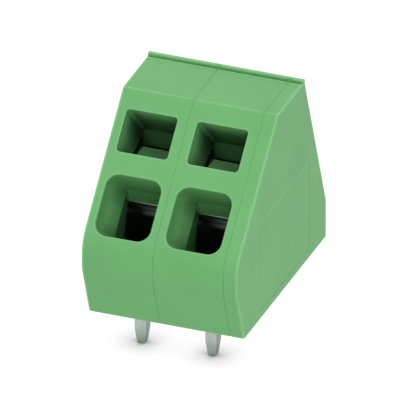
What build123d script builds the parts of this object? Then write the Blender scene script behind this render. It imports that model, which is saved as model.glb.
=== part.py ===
"""Two-pole spring-clamp terminal block for a printed circuit board, in millimetres.

The block is a row of identical moulded pole housings, each open on its right side, closed at the
right-hand end by a flat cover. Every pole holds two metal pieces: a folded current bar, whose front
end is the solder pin, and a bent flat spring that pulls the wire up against the bar's tongue.

+Z is up from the board, +X runs along the row of poles and -Y is the wire side. The origin is the
centre of the first pole's solder pin, on the board's surface.
"""

import os
from math import asin, atan2, cos, degrees, hypot, radians, sin, sqrt, tan

from build123d import *

# Row of poles
poles = 2
pitch = 5.0
cover_thickness = 1.0

# Outline of the body, seen from the side: distances along Y and heights above the board
top_height = 13.73
slope_angle = 45.0
foot_y = -3.36
nose_y = -4.78
nose_face_height = 2.05
crest_y = 2.95
back_top_y = 7.88
heel_y = 11.83
knee_z = 2.86
nose_round = 2.4
crest_round = 0.12
foot_round = 0.2
knee_round = 0.4
seam_chamfer = 0.055
outer_round = 0.14

# Lip and groove along the rear edge of the top
lip_width = 0.34
lip_rise = 0.18
groove_width = 0.16
groove_depth = 0.07

# Walls of a pole housing
left_wall = 0.57
floor_thickness = 0.8
back_wall = 0.95
top_wall = 1.0
web = 0.8

# Opening for the screwdriver: distances down the slope from its top crease, and into the block
driver_width = 3.61
driver_top = 1.44
driver_height = 2.98
driver_corner = 0.26
driver_offset_x = -0.025
driver_mouth_round = 0.04
driver_wall_setback = 2.06
driver_floor_drop = 5.42
side_groove_rise = 1.15
side_groove_width = 0.5
side_groove_depth = 0.38
corner_slit_width = 0.12
corner_slit_depth = 0.5
blade_slot_height = 0.7
blade_slot_width = 3.2
blade_slot_edge = 0.29

# Funnel for the wire, measured the same way, and kept clear of the slope's lower end
funnel_width = 4.02
funnel_height = 4.43
funnel_nose_gap = 0.6
funnel_corner = 0.95
throat_corner = 0.1
funnel_offset_x = 0.03
funnel_mouth_chamfer = 0.06
funnel_depth = 4.42
throat_share = 0.72
funnel_top_draft = 0.53
funnel_bottom_draft = 1.0
throat_side_draft = 0.48
throat_top_draft = 0.14

# Cavity for the metal pieces
cavity_front_gap = 0.3
loop_back_gap = 0.7
tongue_roof_gap = 0.13
leg_front_gap = 0.25

# Pegs and sockets that line the mouldings up: distances from foot, heel and crest in the side view
front_peg_inset = 0.76
front_peg_height = 2.2
rear_peg_inset = 1.17
rear_peg_height = 1.6
top_peg_inset = 1.35
top_peg_drop = 1.83
peg_radius = 0.7
peg_length = 0.5
peg_chamfer = 0.12
socket_clearance = 0.05
socket_extra_depth = 0.1

# Bare marking field on the end cover
field_front_y = -1.16
field_back_y = 8.84
field_low_z = 0.55
field_high_z = 7.2
field_depth = 0.02
field_corner = 0.3

# Folded strip of the current bar
bar_thickness = 0.9
bar_bend = 0.3
tongue_front_gap = 0.05
tongue_edge_round = 0.06
side_clearance = 0.05
head_setback = 0.2
neck_clearance = 0.08
shoulder_front_y = 1.0
shoulder_back_y = 1.9

# Solder pin
pin_width = 0.78
pin_length = 3.5
pin_taper_length = 1.15
pin_taper = 0.14
pin_tip_chamfer = 0.08
pin_channel_gap = 0.07

# Clamping spring
spring_thickness = 0.4
loop_radius = 1.6
loop_setback = 4.07
back_leg_gap = 0.67
leg_setback = 0.96
shoulder_radius = 0.9
shoulder_rise = 0.83
side_bar_width = 0.55
window_rise = 1.38
notch_clearance = 0.12
tail_lean = 35.0
tail_bend = 0.5
tail_start = 0.15
tail_length = 2.0
tail_corner = 0.5

slope_cos = cos(radians(slope_angle))
slope_sin = sin(radians(slope_angle))


def into(down, deep):
    """Side-view point (Y, Z) that lies `down` the slope from its crest and `deep` under its face."""
    return (
        crest_y - down * slope_cos + deep * slope_sin,
        top_height - down * slope_sin - deep * slope_cos,
    )


def deep_at_height(down, height):
    """Depth under the slope's face at which a line at `down` reaches the given height."""
    return (top_height - height - down * slope_sin) / slope_cos


def deep_at_y(down, y):
    """Depth under the slope's face at which a line at `down` reaches the given Y."""
    return (y - crest_y + down * slope_cos) / slope_sin


# Values that follow from the ones above
left_face = -pitch / 2
right_face = pitch / 2
nose_high_z = top_height - (crest_y - nose_y) * tan(radians(slope_angle))
nose_low_z = nose_high_z - nose_face_height
slope_length = (crest_y - nose_y) / slope_cos
back_lean = (heel_y - back_top_y) / (top_height - knee_z)
back_offset = back_wall * sqrt(1 + back_lean**2)
cavity_left = left_face + left_wall
cavity_width = right_face - cavity_left
strip_centre = (cavity_left + right_face) / 2
spring_width = cavity_width - 2 * side_clearance
window_width = spring_width - 2 * side_bar_width
neck_width = window_width - 2 * neck_clearance
head_width = spring_width - 2 * head_setback
bar_middle_z = floor_thickness + bar_thickness / 2
bar_bend_middle = bar_bend + bar_thickness / 2
driver_bottom = driver_top + driver_height
driver_back_y = crest_y + driver_wall_setback
driver_floor_z = top_height - driver_floor_drop
ceiling_z = driver_floor_z - web
funnel_bottom = slope_length - funnel_nose_gap
funnel_top = funnel_bottom - funnel_height
socket_depth = peg_length + socket_extra_depth

throat_deep = throat_share * funnel_depth
throat_top = funnel_top + throat_top_draft
throat_bottom = funnel_bottom - throat_share * funnel_bottom_draft

# The wire lies along the funnel's roof and under the tongue
tongue_front = funnel_depth + tongue_front_gap
tongue_under = funnel_top + funnel_top_draft + tongue_front_gap
tongue_top = tongue_under - bar_thickness
tongue_middle = (tongue_top + tongue_under) / 2
fold_deep = deep_at_height(tongue_middle, bar_middle_z)
leg_front = tongue_front + leg_setback
leg_middle = leg_front + spring_thickness / 2

# Centres of the spring's loop and shoulder, and the straight ramp that touches both
back_leg_middle = tongue_top - spring_thickness / 2
back_leg_start = leg_front + spring_thickness + back_leg_gap
loop_down = back_leg_middle - loop_radius
loop_deep = leg_front + loop_setback
shoulder_down = tongue_top - shoulder_rise
shoulder_deep = leg_middle + shoulder_radius
centre_distance = hypot(shoulder_down - loop_down, loop_deep - shoulder_deep)
ramp_angle = degrees(
    atan2(shoulder_down - loop_down, loop_deep - shoulder_deep)
    + asin((loop_radius - shoulder_radius) / centre_distance)
)
ramp_length = sqrt(centre_distance**2 - (loop_radius - shoulder_radius) ** 2)
loop_outside = loop_radius + spring_thickness / 2
cavity_back_y = into(loop_down, loop_deep)[0] + loop_outside + loop_back_gap

peg_places = [
    (foot_y + front_peg_inset, front_peg_height),
    (heel_y - rear_peg_inset, rear_peg_height),
    (crest_y + top_peg_inset, top_height - top_peg_drop),
]

slope_plane = Plane(
    origin=(0, crest_y, top_height),
    x_dir=(1, 0, 0),
    z_dir=(0, -slope_sin, slope_cos),
)
slope_outward = Axis(slope_plane.origin, slope_plane.z_dir)
slope_downward = Axis(slope_plane.origin, (0, -slope_cos, -slope_sin))


def back_face_y(height):
    """Y of the sloping back face's inner side at a height."""
    return back_top_y + (top_height - height) * back_lean - back_offset


def body_block(x_from, thickness, right_round=seam_chamfer):
    """Slice of the body: its outline in the side view pushed out along X, with its edges broken.

    A right side that is rounded more than a seam is an outer one, and the groove stops short of it.
    """
    groove_length = thickness - (right_round if right_round > seam_chamfer else 0)
    with BuildPart() as block:
        with BuildSketch(Plane.YZ.offset(x_from)):
            with BuildLine():
                FilletPolyline(
                    (foot_y, 0),
                    (nose_y, nose_low_z),
                    (nose_y, nose_high_z),
                    (crest_y, top_height),
                    (back_top_y, top_height),
                    (heel_y, knee_z),
                    (heel_y, 0),
                    radius=[foot_round, nose_round, nose_round, crest_round, 0, knee_round, foot_round],
                    close=True,
                )
            make_face()
        extrude(amount=thickness)
        chamfer(block.faces().sort_by(Axis.X)[0].edges(), seam_chamfer)
        if right_round > seam_chamfer:
            fillet(block.faces().sort_by(Axis.X)[-1].edges(), right_round)
        else:
            chamfer(block.faces().sort_by(Axis.X)[-1].edges(), seam_chamfer)

        # Lip along the rear edge of the top, and the groove in front of it
        lip_front = back_top_y - lip_width
        with BuildSketch(Plane.YZ.offset(x_from)):
            with BuildLine():
                Polyline(
                    (lip_front, top_height - groove_depth),
                    (lip_front, top_height + lip_rise),
                    (back_top_y - lip_rise * back_lean, top_height + lip_rise),
                    (back_top_y, top_height),
                    close=True,
                )
            make_face()
        extrude(amount=thickness)
        with BuildSketch(Plane.YZ.offset(x_from)):
            with Locations((lip_front - groove_width / 2, top_height)):
                Rectangle(groove_width, 2 * groove_depth)
        extrude(amount=groove_length, mode=Mode.SUBTRACT)
    return block.part


def peg_row(x_face, radius, length):
    """Round pegs at the three peg places, standing out of a side face by the given length."""
    with BuildPart() as pegs:
        with BuildSketch(Plane.YZ.offset(x_face)):
            with Locations(*peg_places):
                Circle(radius)
        extrude(amount=length)
    return pegs.part


# Screwdriver pocket: a rounded shaft square to the slope, ended by an upright wall and a level floor
with BuildPart() as driver_pocket:
    with BuildSketch(slope_plane.offset(web)):
        with Locations((driver_offset_x, -(driver_top + driver_height / 2))):
            RectangleRounded(driver_width, driver_height, driver_corner)
    extrude(amount=-(top_height - driver_floor_z + web))
    with BuildSketch(Plane.YZ):
        with BuildLine():
            Polyline(
                into(driver_top, -web),
                into(driver_top, deep_at_y(driver_top, driver_back_y)),
                (driver_back_y, driver_floor_z),
                into(driver_bottom, deep_at_height(driver_bottom, driver_floor_z)),
                into(driver_bottom, -web),
                close=True,
            )
        make_face()
    extrude(amount=driver_width, both=True, mode=Mode.INTERSECT)

# Rising groove in each side wall at the pocket's end, and a fine slit in the corner of wall and floor
with BuildPart() as driver_pocket_grooves:
    floor_front_y = into(driver_bottom, deep_at_height(driver_bottom, driver_floor_z))[0]
    groove_rise_angle = atan2(side_groove_rise, driver_back_y - floor_front_y)
    groove_high_z = driver_floor_z + side_groove_rise
    with BuildSketch(Plane.YZ.offset(driver_offset_x)):
        with BuildLine():
            Polyline(
                (floor_front_y, driver_floor_z),
                (driver_back_y, groove_high_z),
                (driver_back_y, groove_high_z - side_groove_width / cos(groove_rise_angle)),
                (floor_front_y + side_groove_width / sin(groove_rise_angle), driver_floor_z),
                close=True,
            )
        make_face()
    extrude(amount=driver_width / 2 + side_groove_depth, both=True)
    corner_down = driver_floor_drop * slope_sin - driver_wall_setback * slope_cos
    corner_deep = driver_floor_drop * slope_cos + driver_wall_setback * slope_sin
    with BuildSketch(slope_plane.offset(-corner_deep + corner_slit_depth)):
        with Locations((driver_offset_x, -corner_down)):
            Rectangle(driver_width, corner_slit_width)
    extrude(amount=-2 * corner_slit_depth)

# Slot that lets the blade reach the spring's shoulder
with BuildPart() as blade_slot:
    slot_start = deep_at_height(driver_bottom, driver_floor_z) - web / 2
    slot_bottom = driver_bottom - blade_slot_edge
    with BuildSketch(slope_plane.offset(-slot_start)):
        with Locations((driver_offset_x, -(slot_bottom - blade_slot_height / 2))):
            Rectangle(blade_slot_width, blade_slot_height)
    extrude(amount=-(leg_front - slot_start))

# Wire funnel: a chamfered mouth with round corners, narrowing to a nearly square throat
with BuildPart() as wire_funnel:
    mouth_place = (funnel_offset_x, -(funnel_top + funnel_height / 2))
    with BuildSketch(slope_plane.offset(web)):
        with Locations(mouth_place):
            RectangleRounded(funnel_width + 2 * web, funnel_height + 2 * web, funnel_corner + web)
    extrude(amount=-(web + funnel_mouth_chamfer), taper=45)

    inner_width = funnel_width - 2 * funnel_mouth_chamfer
    inner_height = funnel_height - 2 * funnel_mouth_chamfer
    throat_width = inner_width - 2 * throat_side_draft
    end_top = funnel_top + funnel_top_draft
    end_bottom = funnel_bottom - funnel_bottom_draft
    with BuildSketch(slope_plane.offset(-funnel_mouth_chamfer)):
        with Locations(mouth_place):
            RectangleRounded(inner_width, inner_height, funnel_corner - funnel_mouth_chamfer)
    with BuildSketch(slope_plane.offset(-throat_deep)):
        with Locations((funnel_offset_x, -(throat_top + throat_bottom) / 2)):
            RectangleRounded(throat_width, throat_bottom - throat_top, throat_corner)
    with BuildSketch(slope_plane.offset(-funnel_depth - cavity_front_gap / 2)):
        with Locations((funnel_offset_x, -(end_top + end_bottom) / 2)):
            RectangleRounded(throat_width, end_bottom - end_top, throat_corner)
    loft(ruled=True)

# One pole housing at the first place of the row
with BuildPart() as pole_housing:
    add(body_block(left_face, pitch))

    # Cavity for spring and bar, open to the right
    cavity_front_y = -bar_thickness / 2 - cavity_front_gap
    roof_down = tongue_top - tongue_roof_gap
    roof_deep = leg_front - leg_front_gap
    with BuildSketch(Plane.YZ.offset(cavity_left)):
        with BuildLine():
            Polyline(
                (cavity_front_y, floor_thickness),
                (cavity_front_y, into(funnel_bottom, funnel_depth)[1]),
                into(throat_bottom, throat_deep),
                into(tongue_under, throat_deep),
                into(tongue_under, funnel_depth),
                into(roof_down, funnel_depth),
                into(roof_down, roof_deep),
                into((top_height - ceiling_z - roof_deep * slope_cos) / slope_sin, roof_deep),
                (cavity_back_y, ceiling_z),
                (cavity_back_y, floor_thickness),
                close=True,
            )
        make_face()

        # Its back wall keeps its thickness behind the leaning back
        with BuildLine():
            Polyline(
                (back_face_y(top_height), top_height),
                (back_face_y(0), 0),
                (2 * heel_y, 0),
                (2 * heel_y, top_height),
                close=True,
            )
        make_face(mode=Mode.SUBTRACT)
    extrude(amount=cavity_width, mode=Mode.SUBTRACT)

    # Hollow above the cavity, which keeps the walls even
    core_front_y = driver_back_y + web
    core_top_z = top_height - top_wall
    with BuildSketch(Plane.YZ.offset(cavity_left)):
        with BuildLine():
            Polyline(
                (core_front_y, driver_floor_z),
                (back_face_y(driver_floor_z), driver_floor_z),
                (back_face_y(core_top_z), core_top_z),
                (core_front_y, core_top_z),
                close=True,
            )
        make_face()
    extrude(amount=cavity_width, mode=Mode.SUBTRACT)

    # Openings in the slope
    add(driver_pocket.part, mode=Mode.SUBTRACT)
    slope_face = pole_housing.faces().sort_by(slope_outward)[-1]
    fillet(slope_face.inner_wires()[0].edges(), driver_mouth_round)
    add(driver_pocket_grooves.part, mode=Mode.SUBTRACT)
    add(blade_slot.part, mode=Mode.SUBTRACT)
    add(wire_funnel.part, mode=Mode.SUBTRACT)

    # Channel for the solder pin, open to the right so that the bar can be slid in
    channel_half = bar_thickness / 2 + pin_channel_gap
    channel_left = -pin_width / 2 - pin_channel_gap
    with BuildSketch(Plane.YZ.offset(channel_left)):
        with BuildLine():
            Polyline(
                (-channel_half, -floor_thickness),
                (channel_half, -floor_thickness),
                (channel_half, floor_thickness - bar_bend - pin_channel_gap),
                (channel_half + bar_bend + pin_channel_gap, floor_thickness),
                (-channel_half, floor_thickness),
                close=True,
            )
        make_face()
    extrude(amount=right_face - channel_left, mode=Mode.SUBTRACT)

    # Sockets on the left and pegs on the right
    add(peg_row(left_face, peg_radius + socket_clearance, socket_depth), mode=Mode.SUBTRACT)
    add(peg_row(right_face, peg_radius, peg_length))
    peg_ends = pole_housing.faces().sort_by(Axis.X)[-len(peg_places):]
    chamfer(peg_ends.edges(), peg_chamfer)

os.makedirs("parts", exist_ok=True)
for pole in range(poles):
    with BuildPart() as housing:
        with Locations((pole * pitch, 0, 0)):
            add(pole_housing.part)
    housing.part.label = f"pole_housing_{pole + 1}"
    export_step(housing.part, f"parts/{housing.part.label}.step")


# End cover: a flat plate with the same outline, sockets inside and a bare marking field outside
cover_face = right_face + (poles - 1) * pitch
with BuildPart() as end_cover:
    add(body_block(cover_face, cover_thickness, right_round=outer_round))
    add(peg_row(cover_face, peg_radius + socket_clearance, socket_depth), mode=Mode.SUBTRACT)
    with BuildSketch(Plane.YZ.offset(cover_face + cover_thickness)):
        with Locations(((field_front_y + field_back_y) / 2, (field_low_z + field_high_z) / 2)):
            RectangleRounded(field_back_y - field_front_y, field_high_z - field_low_z, field_corner)
    extrude(amount=-field_depth, mode=Mode.SUBTRACT)
end_cover.part.label = "end_cover"
export_step(end_cover.part, "parts/end_cover.step")


# Current bar: solder pin, run along the floor, fold and contact tongue under the slope
with BuildPart() as current_bar:
    with BuildSketch(Plane.YZ.offset(strip_centre)):
        with BuildLine():
            FilletPolyline(
                (0, -pin_length + pin_taper_length),
                (0, bar_middle_z),
                into(tongue_middle, fold_deep),
                into(tongue_middle, tongue_front),
                radius=bar_bend_middle,
            )
        trace(line_width=bar_thickness)
    extrude(amount=head_width / 2, both=True)
    tongue_end = current_bar.faces().sort_by(slope_outward)[-1]
    fillet(tongue_end.edges().filter_by(Axis.X), tongue_edge_round)

    # Narrowed at the front, down to the width of the pin
    with BuildSketch(Plane.XY.offset(-pin_length)):
        for side in (-1, 1):
            outer = strip_centre + side * head_width
            with BuildLine():
                Polyline(
                    (side * pin_width / 2, -bar_thickness),
                    (outer, -bar_thickness),
                    (outer, shoulder_back_y),
                    (side * pin_width / 2 + side * (shoulder_back_y - shoulder_front_y), shoulder_back_y),
                    (side * pin_width / 2, shoulder_front_y),
                    close=True,
                )
            make_face()
    extrude(amount=pin_length + floor_thickness + 2 * bar_thickness, mode=Mode.SUBTRACT)

    # Notches beside the neck, where the spring's side bars run
    with BuildSketch(slope_plane.offset(-leg_front + notch_clearance)):
        for side in (-1, 1):
            with Locations((strip_centre + side * (neck_width + head_width) / 2, -tongue_middle)):
                Rectangle(head_width, 2 * bar_thickness)
    extrude(amount=-(spring_thickness + 2 * notch_clearance), mode=Mode.SUBTRACT)

    # Tapered tip of the pin
    tip_start = -pin_length + pin_taper_length
    with BuildSketch(Plane.XY.offset(tip_start)):
        Rectangle(pin_width, bar_thickness)
    with BuildSketch(Plane.XY.offset(-pin_length)):
        Rectangle(pin_width - 2 * pin_taper, bar_thickness - 2 * pin_taper)
    loft()
    chamfer(current_bar.faces().sort_by(Axis.Z)[0].edges(), pin_tip_chamfer)

# Clamping spring: back leg on the tongue, loop, ramp, shoulder, windowed clamp leg and leaning tail
with BuildPart() as cage_spring:
    with BuildSketch(Plane.YZ.offset(strip_centre)):
        with BuildLine():
            back_leg = Line(into(back_leg_middle, back_leg_start), into(back_leg_middle, loop_deep))
            loop = JernArc(back_leg @ 1, back_leg % 1, loop_radius, 180 + ramp_angle)
            ramp = PolarLine(loop @ 1, ramp_length, direction=loop % 1)
            shoulder = JernArc(ramp @ 1, ramp % 1, shoulder_radius, 90 - ramp_angle)
            clamp_leg = Line(shoulder @ 1, into(tongue_under + tail_start, leg_middle))
            bend = JernArc(clamp_leg @ 1, clamp_leg % 1, tail_bend, tail_lean)
            PolarLine(bend @ 1, tail_length, direction=bend % 1)
        trace(line_width=spring_thickness)
    extrude(amount=spring_width / 2, both=True)
    tail_end = cage_spring.faces().sort_by(slope_downward)[-1]
    fillet(tail_end.edges().filter_by(Axis.X, reverse=True), tail_corner)

    window_top = tongue_top - window_rise
    with BuildSketch(slope_plane.offset(-leg_front + spring_thickness)):
        with Locations((strip_centre, -(window_top + tongue_under) / 2)):
            RectangleRounded(window_width, tongue_under - window_top, neck_clearance)
    extrude(amount=-(spring_thickness + shoulder_radius), mode=Mode.SUBTRACT)

for pole in range(poles):
    with BuildPart() as bar:
        with Locations((pole * pitch, 0, 0)):
            add(current_bar.part)
    bar.part.label = f"current_bar_{pole + 1}"
    export_step(bar.part, f"parts/{bar.part.label}.step")

    with BuildPart() as spring:
        with Locations((pole * pitch, 0, 0)):
            add(cage_spring.part)
    spring.part.label = f"cage_spring_{pole + 1}"
    export_step(spring.part, f"parts/{spring.part.label}.step")
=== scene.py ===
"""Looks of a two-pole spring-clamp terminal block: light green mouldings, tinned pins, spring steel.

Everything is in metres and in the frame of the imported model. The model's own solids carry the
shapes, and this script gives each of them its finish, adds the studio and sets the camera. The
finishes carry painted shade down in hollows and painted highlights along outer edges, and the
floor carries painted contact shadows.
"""

import logging
import math
from collections.abc import Mapping
from dataclasses import dataclass, field
from enum import Enum
from typing import Any, Union

import bpy
from mathutils import Matrix, Vector

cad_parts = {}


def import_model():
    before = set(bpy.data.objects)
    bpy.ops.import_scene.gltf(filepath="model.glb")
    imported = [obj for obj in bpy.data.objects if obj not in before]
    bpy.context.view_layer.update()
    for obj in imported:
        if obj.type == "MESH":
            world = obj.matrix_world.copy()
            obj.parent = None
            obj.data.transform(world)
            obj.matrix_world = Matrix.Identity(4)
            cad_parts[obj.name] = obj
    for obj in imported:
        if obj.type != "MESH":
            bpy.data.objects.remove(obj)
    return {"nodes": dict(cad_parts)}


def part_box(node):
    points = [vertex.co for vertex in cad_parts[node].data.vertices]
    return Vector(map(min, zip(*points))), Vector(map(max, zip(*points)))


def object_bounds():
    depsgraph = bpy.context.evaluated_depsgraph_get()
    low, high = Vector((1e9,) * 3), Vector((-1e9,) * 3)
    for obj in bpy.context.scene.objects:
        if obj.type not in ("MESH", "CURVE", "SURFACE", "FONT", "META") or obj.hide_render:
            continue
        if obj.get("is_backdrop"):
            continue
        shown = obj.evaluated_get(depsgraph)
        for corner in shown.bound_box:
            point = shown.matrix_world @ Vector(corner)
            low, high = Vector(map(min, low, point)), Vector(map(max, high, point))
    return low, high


log = logging.getLogger("terminal_block")

MM = 0.001
NOISE_MIDDLE = 0.5

Amount = Union["Term", float]
Span = tuple[float, float]
Stretch = tuple[float, float, float]
LinearColour = tuple[float, float, float, float]


class Slot(str, Enum):
    """Names of the record's material slots."""

    MOULDING = "green_plastic"
    STRIP = "tinned_copper"
    SPRING = "spring_steel"


class Shader(str, Enum):
    """Blender's node types that the finishes use."""

    PRINCIPLED = "ShaderNodeBsdfPrincipled"
    EMISSION = "ShaderNodeEmission"
    BACKGROUND = "ShaderNodeBackground"
    OUTPUT = "ShaderNodeOutputMaterial"
    SKY_OUTPUT = "ShaderNodeOutputWorld"
    MATH = "ShaderNodeMath"
    VECTOR_MATH = "ShaderNodeVectorMath"
    MIX = "ShaderNodeMix"
    MAP_RANGE = "ShaderNodeMapRange"
    NOISE = "ShaderNodeTexNoise"
    COORDINATES = "ShaderNodeTexCoord"
    GEOMETRY = "ShaderNodeNewGeometry"
    SEPARATE = "ShaderNodeSeparateXYZ"
    BUMP = "ShaderNodeBump"
    OCCLUSION = "ShaderNodeAmbientOcclusion"


def linear_channel(value: int) -> float:
    """Turns one 8-bit sRGB value into the linear value that a shader takes."""
    share = value / 255
    return share / 12.92 if share <= 0.04045 else ((share + 0.055) / 1.055) ** 2.4


@dataclass(frozen=True)
class Colour:
    """A colour as it is read off a picture, in 8-bit sRGB."""

    red: int
    green: int
    blue: int

    def linear(self) -> LinearColour:
        """Gives the colour in the linear values that a shader takes."""
        return (linear_channel(self.red), linear_channel(self.green), linear_channel(self.blue), 1.0)

    def scaled(self, brightness: float) -> LinearColour:
        """Gives the linear colour with its brightness multiplied by a factor."""
        red, green, blue, alpha = self.linear()
        return (red * brightness, green * brightness, blue * brightness, alpha)


class Term:
    """One output socket of a shader, so that shader sums are written as Python sums."""

    def __init__(self, bench: "Bench", socket: bpy.types.NodeSocket) -> None:
        """Wraps a socket.

        Args:
            bench: The material's workbench, which makes the nodes of a sum.
            socket: The output socket that holds the value.
        """
        self.bench = bench
        self.socket = socket

    def _sum(self, operation: str, first: Amount, second: Amount) -> "Term":
        """Adds one Math node.

        Args:
            operation: Blender's name of the operation.
            first: Its first value, a number or a Term.
            second: Its second value, a number or a Term.

        Returns:
            The node's result.
        """
        return self.bench.node(Shader.MATH, {"operation": operation}, {0: first, 1: second})

    def __add__(self, other: Amount) -> "Term":
        """Adds a value."""
        return self._sum("ADD", self, other)

    def __radd__(self, other: Amount) -> "Term":
        """Is added to a value."""
        return self._sum("ADD", other, self)

    def __sub__(self, other: Amount) -> "Term":
        """Subtracts a value."""
        return self._sum("SUBTRACT", self, other)

    def __rsub__(self, other: Amount) -> "Term":
        """Is subtracted from a value."""
        return self._sum("SUBTRACT", other, self)

    def __mul__(self, other: Amount) -> "Term":
        """Multiplies by a value."""
        return self._sum("MULTIPLY", self, other)

    def __rmul__(self, other: Amount) -> "Term":
        """Multiplies a value."""
        return self._sum("MULTIPLY", other, self)

    def __truediv__(self, other: Amount) -> "Term":
        """Divides by a value."""
        return self._sum("DIVIDE", self, other)

    def __pow__(self, other: Amount) -> "Term":
        """Raises to a power."""
        return self._sum("POWER", self, other)

    def __abs__(self) -> "Term":
        """Drops the sign."""
        return self._sum("ABSOLUTE", self, 0.0)

    def at_most(self, limit: float) -> "Term":
        """Cuts off what lies above a limit."""
        return self._sum("MINIMUM", self, limit)

    def step(self, low: float, high: float) -> "Term":
        """Rises smoothly from 0 at one value to 1 at another.

        Args:
            low: Value at and below which the result is 0.
            high: Value at and above which the result is 1.

        Returns:
            The smooth step.
        """
        inputs = {"Value": self, "From Min": low, "From Max": high}
        return self.bench.node(Shader.MAP_RANGE, {"interpolation_type": "SMOOTHSTEP"}, inputs)


class Bench:
    """Workbench of one material, or of the sky: makes its nodes and links them."""

    def __init__(self, name: str, sky: bool = False) -> None:
        """Starts an empty material or sky.

        Args:
            name: Its name.
            sky: Whether it is the sky and not a material.
        """
        kind = bpy.data.worlds if sky else bpy.data.materials
        self.material = kind.new(name)
        self.material.use_nodes = True
        self.tree = self.material.node_tree
        self.tree.nodes.clear()
        self.end = Shader.SKY_OUTPUT if sky else Shader.OUTPUT

    def node(
        self,
        kind: Shader,
        settings: Mapping[str, Any] | None = None,
        inputs: Mapping[str | int, Any] | None = None,
        out: str | int = 0,
    ) -> Term:
        """Adds a node.

        Args:
            kind: The node's type.
            settings: Its settings, which are set before its sockets.
            inputs: Numbers, colours or Terms for its input sockets, by name or place.
            out: The output socket that is wanted, by name or place.

        Returns:
            The wanted output.
        """
        made = self.tree.nodes.new(kind.value)
        for key, value in (settings or {}).items():
            setattr(made, key, value)
        for key, value in (inputs or {}).items():
            if isinstance(value, Term):
                self.tree.links.new(value.socket, made.inputs[key])
            else:
                made.inputs[key].default_value = value
        return Term(self, made.outputs[out])

    def blend(self, share: Amount, first: Term | LinearColour, second: Term | LinearColour) -> Term:
        """Mixes two colours.

        Args:
            share: How much of the second colour, from 0 to 1.
            first: The first colour.
            second: The second colour.

        Returns:
            The mixed colour.
        """
        inputs = {0: share, 6: first, 7: second}
        return self.node(Shader.MIX, {"data_type": "RGBA"}, inputs, out=2)

    def place(self) -> Term:
        """Gives the point on the object, in metres."""
        return self.node(Shader.COORDINATES, out="Object")

    def facing(self) -> Term:
        """Gives the direction that the flat surface faces."""
        return self.node(Shader.GEOMETRY, out="True Normal")

    def along(self, axis: str, vector: Term) -> Term:
        """Gives how far a vector goes along X, Y or Z."""
        return self.node(Shader.SEPARATE, None, {0: vector}, out=axis)

    def noise(self, grain: float, detail: float, stretch: Stretch = (1.0, 1.0, 1.0)) -> Term:
        """Adds noise of a given grain size.

        Args:
            grain: Size of the grains, in metres.
            detail: Number of finer layers.
            stretch: How much longer the grains are along X, Y and Z.

        Returns:
            Noise around NOISE_MIDDLE.
        """
        factors = tuple(1 / longer for longer in stretch)
        point = self.node(Shader.VECTOR_MATH, {"operation": "MULTIPLY"}, {0: self.place(), 1: factors})
        return self.node(Shader.NOISE, None, {"Vector": point, "Scale": 1 / grain, "Detail": detail})

    def bump(self, height: Term, depth: float) -> Term:
        """Turns a height into a bumped normal.

        Args:
            height: Height from 0 to 1.
            depth: What a height of 1 stands for, in metres.

        Returns:
            The normal.
        """
        return self.node(Shader.BUMP, None, {"Strength": 1.0, "Distance": depth, "Height": height})

    def surface(self, **sockets: Any) -> bpy.types.Material:
        """Finishes the material with a Principled shader.

        Args:
            sockets: Values for the shader's sockets, with underscores for spaces in their names.

        Returns:
            The material.
        """
        inputs = {name.replace("_", " "): value for name, value in sockets.items()}
        self.show(self.node(Shader.PRINCIPLED, None, inputs))
        return self.material

    def show(self, shade: Term) -> None:
        """Links a shader to the output of the material or the sky."""
        end = self.tree.nodes.new(self.end.value)
        self.tree.links.new(shade.socket, end.inputs["Surface"])


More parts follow.
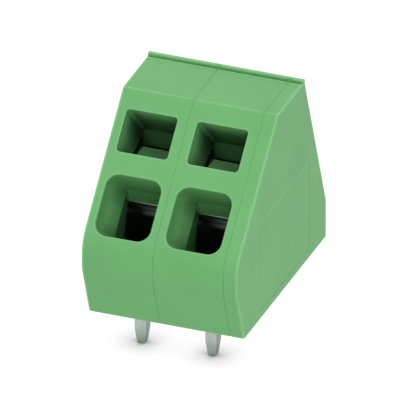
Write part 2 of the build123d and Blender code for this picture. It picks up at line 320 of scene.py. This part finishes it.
@dataclass(frozen=True)
class PaintedShading:
    """Where a finish gets painted highlights along outer edges, and painted shade down in hollows, in
    narrow grooves and in corners.

    A place's open share is how much of what it faces is free within a reach, from 0 to 1. A hollow,
    groove or corner begins to show where that share falls below its start, and deepens by its power.
    """

    edge_reach: float = 0.12 * MM
    edge_full: float = 0.05
    hollow_reach: float = 4.0 * MM
    hollow_start: float = 0.41
    hollow_power: float = 0.77
    groove_reach: float = 1.5 * MM
    groove_start: float = 0.85
    groove_power: float = 5.0
    groove_lean: float = 0.8
    corner_reach: float = 0.7 * MM
    corner_start: float = 0.95
    corner_power: float = 2.2
    rays: int = 16

    def outer(self, bench: Bench) -> Term:
        """Finds the outer edges.

        Args:
            bench: The material's workbench.

        Returns:
            1 on outer edges and 0 on flat or hollow places.
        """
        settings = {"samples": self.rays, "inside": True, "only_local": True}
        open_share = bench.node(Shader.OCCLUSION, settings, {"Distance": self.edge_reach}, out="AO")
        return (1.0 - open_share).step(0.0, self.edge_full)

    def open_share(self, bench: Bench, reach: float, own_piece: bool, lean: float = 0.0) -> Term:
        """Measures how open a place is.

        Args:
            bench: The material's workbench.
            reach: How far away something can be and still hide the place, in metres.
            own_piece: Whether only the piece itself can hide it.
            lean: How far the direction that it faces leans to the sky, where most light comes from.

        Returns:
            The open share of what the place faces, from 0 to 1.
        """
        settings = {"samples": self.rays, "only_local": own_piece}
        upward = (0.0, 0.0, lean)
        leaning = bench.node(Shader.VECTOR_MATH, {"operation": "ADD"}, {0: bench.facing(), 1: upward})
        unit = bench.node(Shader.VECTOR_MATH, {"operation": "NORMALIZE"}, {0: leaning})
        return bench.node(Shader.OCCLUSION, settings, {"Distance": reach, "Normal": unit}, out="AO")

    def hollow(self, bench: Bench) -> Term:
        """Finds the painted shade of hollows, whether the piece itself or its neighbours shut them in.

        Args:
            bench: The material's workbench.

        Returns:
            The share of its colour that a place keeps under the painted shade: 1 in the open and less
            down in a hollow.
        """
        wide = self.open_share(bench, self.hollow_reach, own_piece=False)
        return (wide / self.hollow_start).at_most(1.0) ** self.hollow_power

    def hollow_with_corners(self, bench: Bench, wide: Term, narrow: Term) -> Term:
        """Finds the painted shade of the piece's own hollows, and of the grooves and corners in them.

        Args:
            bench: The material's workbench.
            wide: The open share within the hollows' reach.
            narrow: The open share within the grooves' reach.

        Returns:
            The share of its colour that a place keeps: 1 in the open, less down in a hollow and
            least in the hollow's grooves and corners.
        """
        deep = (wide / self.hollow_start).at_most(1.0)
        groove = 1.0 - (narrow / self.groove_start).at_most(1.0) ** self.groove_power
        near = self.open_share(bench, self.corner_reach, own_piece=True)
        corner = 1.0 - (near / self.corner_start).at_most(1.0) ** self.corner_power
        shut = 1.0 - deep
        return deep**self.hollow_power * (1.0 - groove * shut) * (1.0 - corner * shut)


@dataclass(frozen=True)
class MouldedPlastic:
    """Self-coloured moulded polyamide with a fine satin grain, with painted highlights along its outer
    edges, painted light at the bottom of its seams, on level floors and on flat inner walls, and
    painted shade down in hollows, grooves and corners.

    The seams and sides are places along X and the top is a height, all in metres. A span is where a
    change starts and where it is complete: a distance, a share of the noise, an open share or how
    squarely the surface faces the sky.
    """

    seams: tuple[float, ...]
    sides: tuple[float, ...]
    top: float
    colour: Colour = Colour(91, 152, 92)
    roughness: float = 0.5
    roughness_swing: float = 0.08
    gloss: float = 0.28
    grain_size: float = 0.07 * MM
    grain_depth: float = 0.0012 * MM
    cloud_size: float = 4.5 * MM
    cloud_span: Span = (0.3, 0.7)
    cloud_share: float = 0.03
    pigment_size: float = 0.16 * MM
    pigment_span: Span = (0.45, 0.75)
    pigment_share: float = 0.03
    pigment_brightness: float = 0.35
    # painted highlights on outer edges, weaker at the mouths, and painted light at the bottom of the
    # seams
    painted_highlight_colour: Colour = Colour(126, 184, 127)
    painted_highlight_share: float = 0.52
    mouth_painted_highlight_share: float = 0.22
    mouth_span: Span = (0.25 * MM, 0.5 * MM)
    mouth_from_top: float = 1.0 * MM
    mouth_blend: float = 0.3 * MM
    seam_span: Span = (0.125 * MM, 0.25 * MM)
    seam_groove_span: Span = (0.04 * MM, 0.06 * MM)
    seam_painted_light: float = 0.27
    # painted light on level floors and flat inner walls down in hollows, and painted shade on ledges,
    # sideways walls and near brims there
    level_span: Span = (0.95, 0.99)
    painted_inner_light_colour: Colour = Colour(140, 208, 142)
    floor_painted_light: float = 1.0
    ledge_span: Span = (0.75, 0.82)
    ledge_gloom: float = 2.5
    side_gloom: float = 0.63
    brim_span: Span = (0.85, 0.95)
    brim_gloom: float = 0.25
    inner_span: Span = (0.52, 0.6)
    flat_span: Span = (0.93, 0.97)
    wall_painted_light: float = 0.3
    # brightness of the deepest painted shade, as a share of the plastic's own colour
    deepest_painted_shade_brightness: float = 0.02
    painted_shading: PaintedShading = PaintedShading()

    def away_from(self, bench: Bench, places: tuple[float, ...], span: Span) -> Term:
        """Finds what lies away from some places along X.

        Args:
            bench: The material's workbench.
            places: The places along X, in metres.
            span: Distances from a place up to which the result is 0 and from which on it is 1.

        Returns:
            0 near the places and 1 elsewhere.
        """
        across = bench.along("X", bench.place())
        return math.prod(abs(across - place).step(*span) for place in places)

    def painted_edge_highlight(self, bench: Bench) -> Term:
        """Finds how much painted highlight the outer edges get: less at the mouths, and none at the
        seams.

        Args:
            bench: The material's workbench.

        Returns:
            The share of the painted highlight colour.
        """
        mouths_end = self.top - self.mouth_from_top
        upper = bench.along("Z", bench.place()).step(mouths_end, mouths_end + self.mouth_blend)
        between = self.away_from(bench, self.seams + self.sides, self.mouth_span)
        mouth = between * (1.0 - upper)
        clear = self.away_from(bench, self.seams, self.seam_span)
        share = self.painted_highlight_share - mouth * (self.painted_highlight_share - self.mouth_painted_highlight_share)
        return self.painted_shading.outer(bench) * clear * share

    def speckled(self, bench: Bench) -> Term:
        """Mixes the plastic's own colour, with faint clouds and specks of pigment.

        Args:
            bench: The material's workbench.

        Returns:
            The colour.
        """
        clouds = bench.noise(self.cloud_size, detail=3.0).step(*self.cloud_span)
        specks = bench.noise(self.pigment_size, detail=2.0).step(*self.pigment_span)
        dark = self.colour.scaled(1 - self.cloud_share)
        light = self.colour.scaled(1 + self.cloud_share)
        pigment = self.colour.scaled(self.pigment_brightness)
        return bench.blend(specks * self.pigment_share, bench.blend(clouds, dark, light), pigment)

    def with_painted_highlights(self, bench: Bench, colour: Term) -> Term:
        """Paints highlights on a colour along outer edges, and paints light at the bottom of the seams.

        Args:
            bench: The material's workbench.
            colour: The colour.

        Returns:
            The colour with its painted highlights and painted light.
        """
        seam = 1.0 - self.away_from(bench, self.seams, self.seam_groove_span)
        share = self.painted_edge_highlight(bench) + seam * self.seam_painted_light
        return bench.blend(share, colour, self.painted_highlight_colour.linear())

    def shaded(self, bench: Bench, colour: Term) -> Term:
        """Paints shade on a colour down in hollows, but paints light on level floors and flat inner
        walls there.

        Args:
            bench: The material's workbench.
            colour: The colour in the open.

        Returns:
            The colour with its painted shade and painted light.
        """
        painted_shading = self.painted_shading
        wide = painted_shading.open_share(bench, painted_shading.hollow_reach, own_piece=True)
        narrow = painted_shading.open_share(bench, painted_shading.groove_reach, own_piece=True, lean=painted_shading.groove_lean)
        kept = painted_shading.hollow_with_corners(bench, wide, narrow)
        facing = bench.facing()
        sideways = abs(bench.along("X", facing))
        upward = bench.along("Z", facing)
        level = upward.step(*self.level_span)
        ledge = upward.step(*self.ledge_span) * (1.0 - level)
        darker = 1.0 + sideways * self.side_gloom + ledge * self.ledge_gloom
        inner = 1.0 - wide.step(*self.inner_span)
        brim = (1.0 - inner) * (1.0 - wide.step(*self.brim_span)) * sideways
        # painted shade: deeper on sideways walls, on ledges and near brims, none on level floors
        gloom = (1.0 - kept**darker * (1.0 - brim * self.brim_gloom)) * (1.0 - level)
        wall = inner * narrow.step(*self.flat_span) * sideways
        # painted light on level floors down in hollows and on flat inner walls
        painted_light_share = (1.0 - kept) * level * self.floor_painted_light + wall * self.wall_painted_light
        painted_lit_colour = bench.blend(painted_light_share, colour, self.painted_inner_light_colour.linear())
        return bench.blend(gloom, painted_lit_colour, self.colour.scaled(self.deepest_painted_shade_brightness))

    def make(self) -> bpy.types.Material:
        """Builds the material.

        Returns:
            The material.
        """
        bench = Bench("moulded_green")
        grain = bench.noise(self.grain_size, detail=3.0)
        return bench.surface(
            Base_Color=self.shaded(bench, self.with_painted_highlights(bench, self.speckled(bench))),
            Roughness=self.roughness + (grain - NOISE_MIDDLE) * self.roughness_swing,
            Normal=bench.bump(grain, self.grain_depth),
            Specular_IOR_Level=self.gloss,
        )


@dataclass(frozen=True)
class TinnedStrip:
    """Matt tin on stamped copper: rolled faces and duller sheared edges, both with a painted green
    reflection of the mouldings, darker on the sheared edges; painted shade down in hollows, under the
    housings and near the floor, and painted highlights on its outer edges.
    """

    # the tin's colours carry a painted green reflection of the mouldings, darker on the sheared edges
    tin_colour_with_painted_reflection: Colour = Colour(188, 206, 192)
    face_roughness: float = 0.33
    sheared_colour_with_painted_reflection: Colour = Colour(150, 164, 153)
    sheared_roughness: float = 0.45
    sheared_span: Span = (0.6, 0.9)
    roughness_swing: float = 0.16
    grain_size: float = 0.05 * MM
    grain_stretch: Stretch = (1.0, 4.0, 4.0)
    grain_depth: float = 0.0025 * MM
    patch_size: float = 0.5 * MM
    patch_span: Span = (0.4, 0.7)
    patch_share: float = 0.18
    patch_brightness: float = 0.6
    painted_highlight_share: float = 0.15
    deepest_painted_shade_brightness: float = 0.04
    painted_shading: PaintedShading = PaintedShading(
        edge_reach=0.08 * MM, hollow_reach=3.0 * MM, hollow_start=1.0, hollow_power=0.65
    )

    def make(self) -> bpy.types.Material:
        """Builds the material.

        Returns:
            The material.
        """
        bench = Bench("tinned_strip")
        face = self.tin_colour_with_painted_reflection.linear()
        sheared = abs(bench.along("X", bench.facing())).step(*self.sheared_span)
        patches = bench.noise(self.patch_size, detail=4.0)
        patchy = patches.step(*self.patch_span) * self.patch_share
        grain = bench.noise(self.grain_size, detail=2.0, stretch=self.grain_stretch)
        plated = bench.blend(sheared, face, self.sheared_colour_with_painted_reflection.linear())
        mottled = bench.blend(patchy, plated, self.sheared_colour_with_painted_reflection.scaled(self.patch_brightness))
        # painted shade: the tin darkens towards this colour down in hollows, under the housings and
        # near the floor
        deepest_painted_shade_colour = self.sheared_colour_with_painted_reflection.scaled(self.deepest_painted_shade_brightness)
        shaded = bench.blend(self.painted_shading.hollow(bench), deepest_painted_shade_colour, mottled)
        rough = (
            self.face_roughness
            + sheared * (self.sheared_roughness - self.face_roughness)
            + (patches - NOISE_MIDDLE) * self.roughness_swing
        )
        return bench.surface(
            # painted highlight: the outer edges go back to the face colour over the painted shade
            Base_Color=bench.blend(self.painted_shading.outer(bench) * self.painted_highlight_share, shaded, face),
            Metallic=1.0,
            Roughness=rough,
            Normal=bench.bump(grain, self.grain_depth),
        )


@dataclass(frozen=True)
class SpringStrip:
    """Bright rolled spring steel with fine rolling lines, painted shade down in hollows and painted
    highlights on its outer edges.
    """

    colour: Colour = Colour(118, 121, 122)
    roughness: float = 0.2
    roughness_swing: float = 0.1
    line_size: float = 0.03 * MM
    line_stretch: Stretch = (1.0, 14.0, 14.0)
    line_depth: float = 0.0008 * MM
    stain_size: float = 1.2 * MM
    stain_span: Span = (0.45, 0.75)
    stain_share: float = 0.25
    stain_brightness: float = 0.55
    painted_highlight_share: float = 0.2
    painted_highlight_brightness: float = 3.0
    deepest_painted_shade_brightness: float = 0.1
    painted_shading: PaintedShading = PaintedShading(edge_reach=0.08 * MM, hollow_start=1.0, hollow_power=1.2)

    def make(self) -> bpy.types.Material:
        """Builds the material.

        Returns:
            The material.
        """
        bench = Bench("spring_strip")
        lines = bench.noise(self.line_size, detail=2.0, stretch=self.line_stretch)
        stain = bench.noise(self.stain_size, detail=3.0).step(*self.stain_span) * self.stain_share
        rolled = bench.blend(stain, self.colour.linear(), self.colour.scaled(self.stain_brightness))
        # painted shade: the steel darkens towards this colour down in hollows
        deepest_painted_shade_colour = self.colour.scaled(self.deepest_painted_shade_brightness)
        shaded = bench.blend(self.painted_shading.hollow(bench), deepest_painted_shade_colour, rolled)
        # painted highlight on the outer edges
        edge = self.painted_shading.outer(bench) * self.painted_highlight_share
        return bench.surface(
            Base_Color=bench.blend(edge, shaded, self.colour.scaled(self.painted_highlight_brightness)),
            Metallic=1.0,
            Roughness=self.roughness + (lines - NOISE_MIDDLE) * self.roughness_swing,
            Normal=bench.bump(lines, self.line_depth),
        )


@dataclass(frozen=True)
class StudioFloor:
    """White paper floor that glows softly, with painted contact shadows close to what stands on it."""

    light: Colour = Colour(255, 255, 255)
    painted_contact_shadow: Colour = Colour(120, 122, 120)
    reach: float = 3.1 * MM
    contrast: float = 2.15
    strength: float = 1.08
    rays: int = 32

    def make(self) -> bpy.types.Material:
        """Builds the material.

        Returns:
            The material.
        """
        bench = Bench("studio_floor")
        # painted contact shadow: the floor darkens where things nearby shut it in
        clear = bench.node(Shader.OCCLUSION, {"samples": self.rays}, {"Distance": self.reach}, out="AO")
        colour = bench.blend(clear**self.contrast, self.painted_contact_shadow.linear(), self.light.linear())
        bench.show(bench.node(Shader.EMISSION, None, {"Color": colour, "Strength": self.strength}))
        return bench.material


def dress_node(node: bpy.types.Object, material: bpy.types.Material, slot: Slot) -> None:
    """Puts a finish on one of the model's own solids.

    Args:
        node: The solid's object.
        material: Its finish.
        slot: The record's slot that the finish stands for.
    """
    if not node.material_slots:
        node.data.materials.append(material)
    for place in node.material_slots:
        place.material = material
    log.info("%s: %s, slot %s", node.name, material.name, slot.value)


@dataclass
class HousingRow:
    """The green mouldings: the pole housings side by side and the end cover."""

    nodes: Mapping[str, bpy.types.Object]
    foot_tolerance: float = 0.01 * MM

    def names(self) -> list[str]:
        """Lists the mouldings' nodes, from left to right."""
        return sorted(name for name in self.nodes if name.startswith("pole_housing")) + ["end_cover"]

    def dress(self) -> None:
        """Gives every moulding its finish."""
        material = MouldedPlastic(self.seams(), self.sides(), self.top()).make()
        for name in self.names():
            dress_node(self.nodes[name], material, Slot.MOULDING)

    def seams(self) -> tuple[float, ...]:
        """Finds where one moulding ends and the next begins, along X."""
        return tuple(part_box(name)[0].x for name in self.names()[1:])

    def sides(self) -> tuple[float, ...]:
        """Finds the row's left and right side, along X."""
        return (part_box(self.names()[0])[0].x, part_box("end_cover")[1].x)

    def top(self) -> float:
        """Measures how high the mouldings reach, in metres."""
        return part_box("end_cover")[1].z

    def pitch(self) -> float:
        """Measures the distance from one pole to the next, in metres."""
        first, second = (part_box(name)[0] for name in self.names()[:2])
        return second.x - first.x

    def near_foot(self) -> Vector:
        """Finds the body's lowest corner nearest to the camera.

        Returns:
            The corner at the right, in front and at the bottom, behind the nose's overhang.
        """
        low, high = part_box("end_cover")
        points = (vertex.co for vertex in self.nodes["end_cover"].data.vertices)
        front = min(point.y for point in points if point.z < low.z + self.foot_tolerance)
        return Vector((high.x, front, low.z))


@dataclass
class MetalInserts:
    """The metal pieces inside: a current bar and a cage spring for each pole."""

    nodes: Mapping[str, bpy.types.Object]
    strip: TinnedStrip = field(default_factory=TinnedStrip)
    spring: SpringStrip = field(default_factory=SpringStrip)

    def dress(self) -> None:
        """Gives the bars and springs their finishes."""
        tin = self.strip.make()
        steel = self.spring.make()
        for name, node in self.nodes.items():
            if name.startswith("current_bar"):
                dress_node(node, tin, Slot.STRIP)
            elif name.startswith("cage_spring"):
                dress_node(node, steel, Slot.SPRING)


@dataclass(frozen=True)
class Lamp:
    """A large soft lamp, placed by its azimuth from the front and its elevation, in degrees."""

    name: str
    azimuth: float
    elevation: float
    power: float
    side: float = 0.11
    distance: float = 0.27

    def hang(self, lit: Vector) -> None:
        """Hangs the lamp.

        Args:
            lit: The point that it shines at.
        """
        azimuth, elevation = math.radians(self.azimuth), math.radians(self.elevation)
        flat = math.cos(elevation)
        toward = Vector((flat * math.sin(azimuth), -flat * math.cos(azimuth), math.sin(elevation)))
        light = bpy.data.lights.new(self.name, "AREA")
        light.shape = "SQUARE"
        light.size = self.side
        light.energy = self.power
        lamp = bpy.data.objects.new(self.name, light)
        turn = (-toward).to_track_quat("-Z", "Y").to_matrix().to_4x4()
        lamp.matrix_world = Matrix.Translation(lit + toward * self.distance) @ turn
        bpy.context.scene.collection.objects.link(lamp)


@dataclass
class Studio:
    """Camera, lights and floor, set as for the photograph.

    The pixels are places and lengths in the photograph, counted from its upper left corner. The
    zenith and horizon are the sky's strengths overhead and at eye level.
    """

    pitch: float
    near_foot: Vector
    floor_height: float
    azimuth: float = math.radians(20.85)
    elevation: float = math.radians(28.67)
    photo_side: float = 408.0
    pole_step_pixels: float = 70.66
    foot_pixel: tuple[float, float] = (245.10, 339.05)
    camera_distance: float = 0.25
    camera_range: Span = (0.001, 10.0)
    floor_side: float = 1.2
    zenith: float = 2.03
    horizon: float = 0.92
    lamps: tuple[Lamp, ...] = (Lamp("key", 45, 45, 0.096), Lamp("fill", 18, 15, 0.124))

    def axes(self) -> tuple[Vector, Vector, Vector]:
        """Works out which way the camera points.

        Returns:
            Its right, up and backward directions.
        """
        sin_a, cos_a = math.sin(self.azimuth), math.cos(self.azimuth)
        sin_e, cos_e = math.sin(self.elevation), math.cos(self.elevation)
        right = Vector((cos_a, sin_a, 0.0))
        up = Vector((-sin_a * sin_e, cos_a * sin_e, cos_e))
        back = Vector((sin_a * cos_e, -cos_a * cos_e, sin_e))
        return right, up, back

    def pixel(self) -> float:
        """Gives the size of one of the photograph's pixels on the object, in metres."""
        return self.pitch * math.cos(self.azimuth) / self.pole_step_pixels

    def place_camera(self) -> None:
        """Sets the camera so that the body's near foot falls on its pixel of the photograph."""
        right, up, back = self.axes()
        across = (self.photo_side / 2 - self.foot_pixel[0]) * self.pixel()
        along = (self.foot_pixel[1] - self.photo_side / 2) * self.pixel()
        target = self.near_foot + across * right + along * up
        lens = bpy.data.cameras.new("camera")
        lens.type = "ORTHO"
        lens.ortho_scale = self.photo_side * self.pixel()
        lens.clip_start, lens.clip_end = self.camera_range
        camera = bpy.data.objects.new("camera", lens)
        turn = Matrix((right, up, back)).transposed().to_4x4()
        camera.matrix_world = Matrix.Translation(target + back * self.camera_distance) @ turn
        bpy.context.scene.collection.objects.link(camera)
        bpy.context.scene.camera = camera
        log.info("camera: orthographic, %.2f mm across", lens.ortho_scale / MM)

    def lay_floor(self) -> None:
        """Lays the floor at the tips of the pins."""
        half = self.floor_side / 2
        mesh = bpy.data.meshes.new("studio_floor")
        square = ((-half, -half), (half, -half), (half, half), (-half, half))
        corners = [(x, y, self.floor_height) for x, y in square]
        mesh.from_pydata(corners, [], [(0, 1, 2, 3)])
        mesh.materials.append(StudioFloor().make())
        floor = bpy.data.objects.new("studio_floor", mesh)
        bpy.context.scene.collection.objects.link(floor)
        floor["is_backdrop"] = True
        log.info("floor: %.2f mm below the board's face", -self.floor_height / MM)

    def light(self) -> None:
        """Sets a white sky that is brightest overhead, and hangs the lamps."""
        scene = bpy.context.scene
        bench = Bench("sky", sky=True)
        upward = bench.along("Z", bench.node(Shader.COORDINATES, out="Generated"))
        strength = self.horizon + upward * (self.zenith - self.horizon)
        bench.show(bench.node(Shader.BACKGROUND, None, {"Strength": strength}))
        scene.world = bench.material
        scene.view_settings.view_transform = "Standard"
        for lamp in self.lamps:
            lamp.hang(self.near_foot)
        log.info("lights: the sky and %d lamps", len(self.lamps))


def main() -> None:
    """Loads the model, dresses it and sets the studio."""
    logging.basicConfig(level=logging.INFO, format="%(name)s: %(message)s")
    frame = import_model()
    cad_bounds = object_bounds()
    housings = HousingRow(frame["nodes"])
    housings.dress()
    MetalInserts(frame["nodes"]).dress()
    studio = Studio(housings.pitch(), housings.near_foot(), cad_bounds[0].z)
    studio.place_camera()
    studio.lay_floor()
    studio.light()


if __name__ == "__main__":
    main()
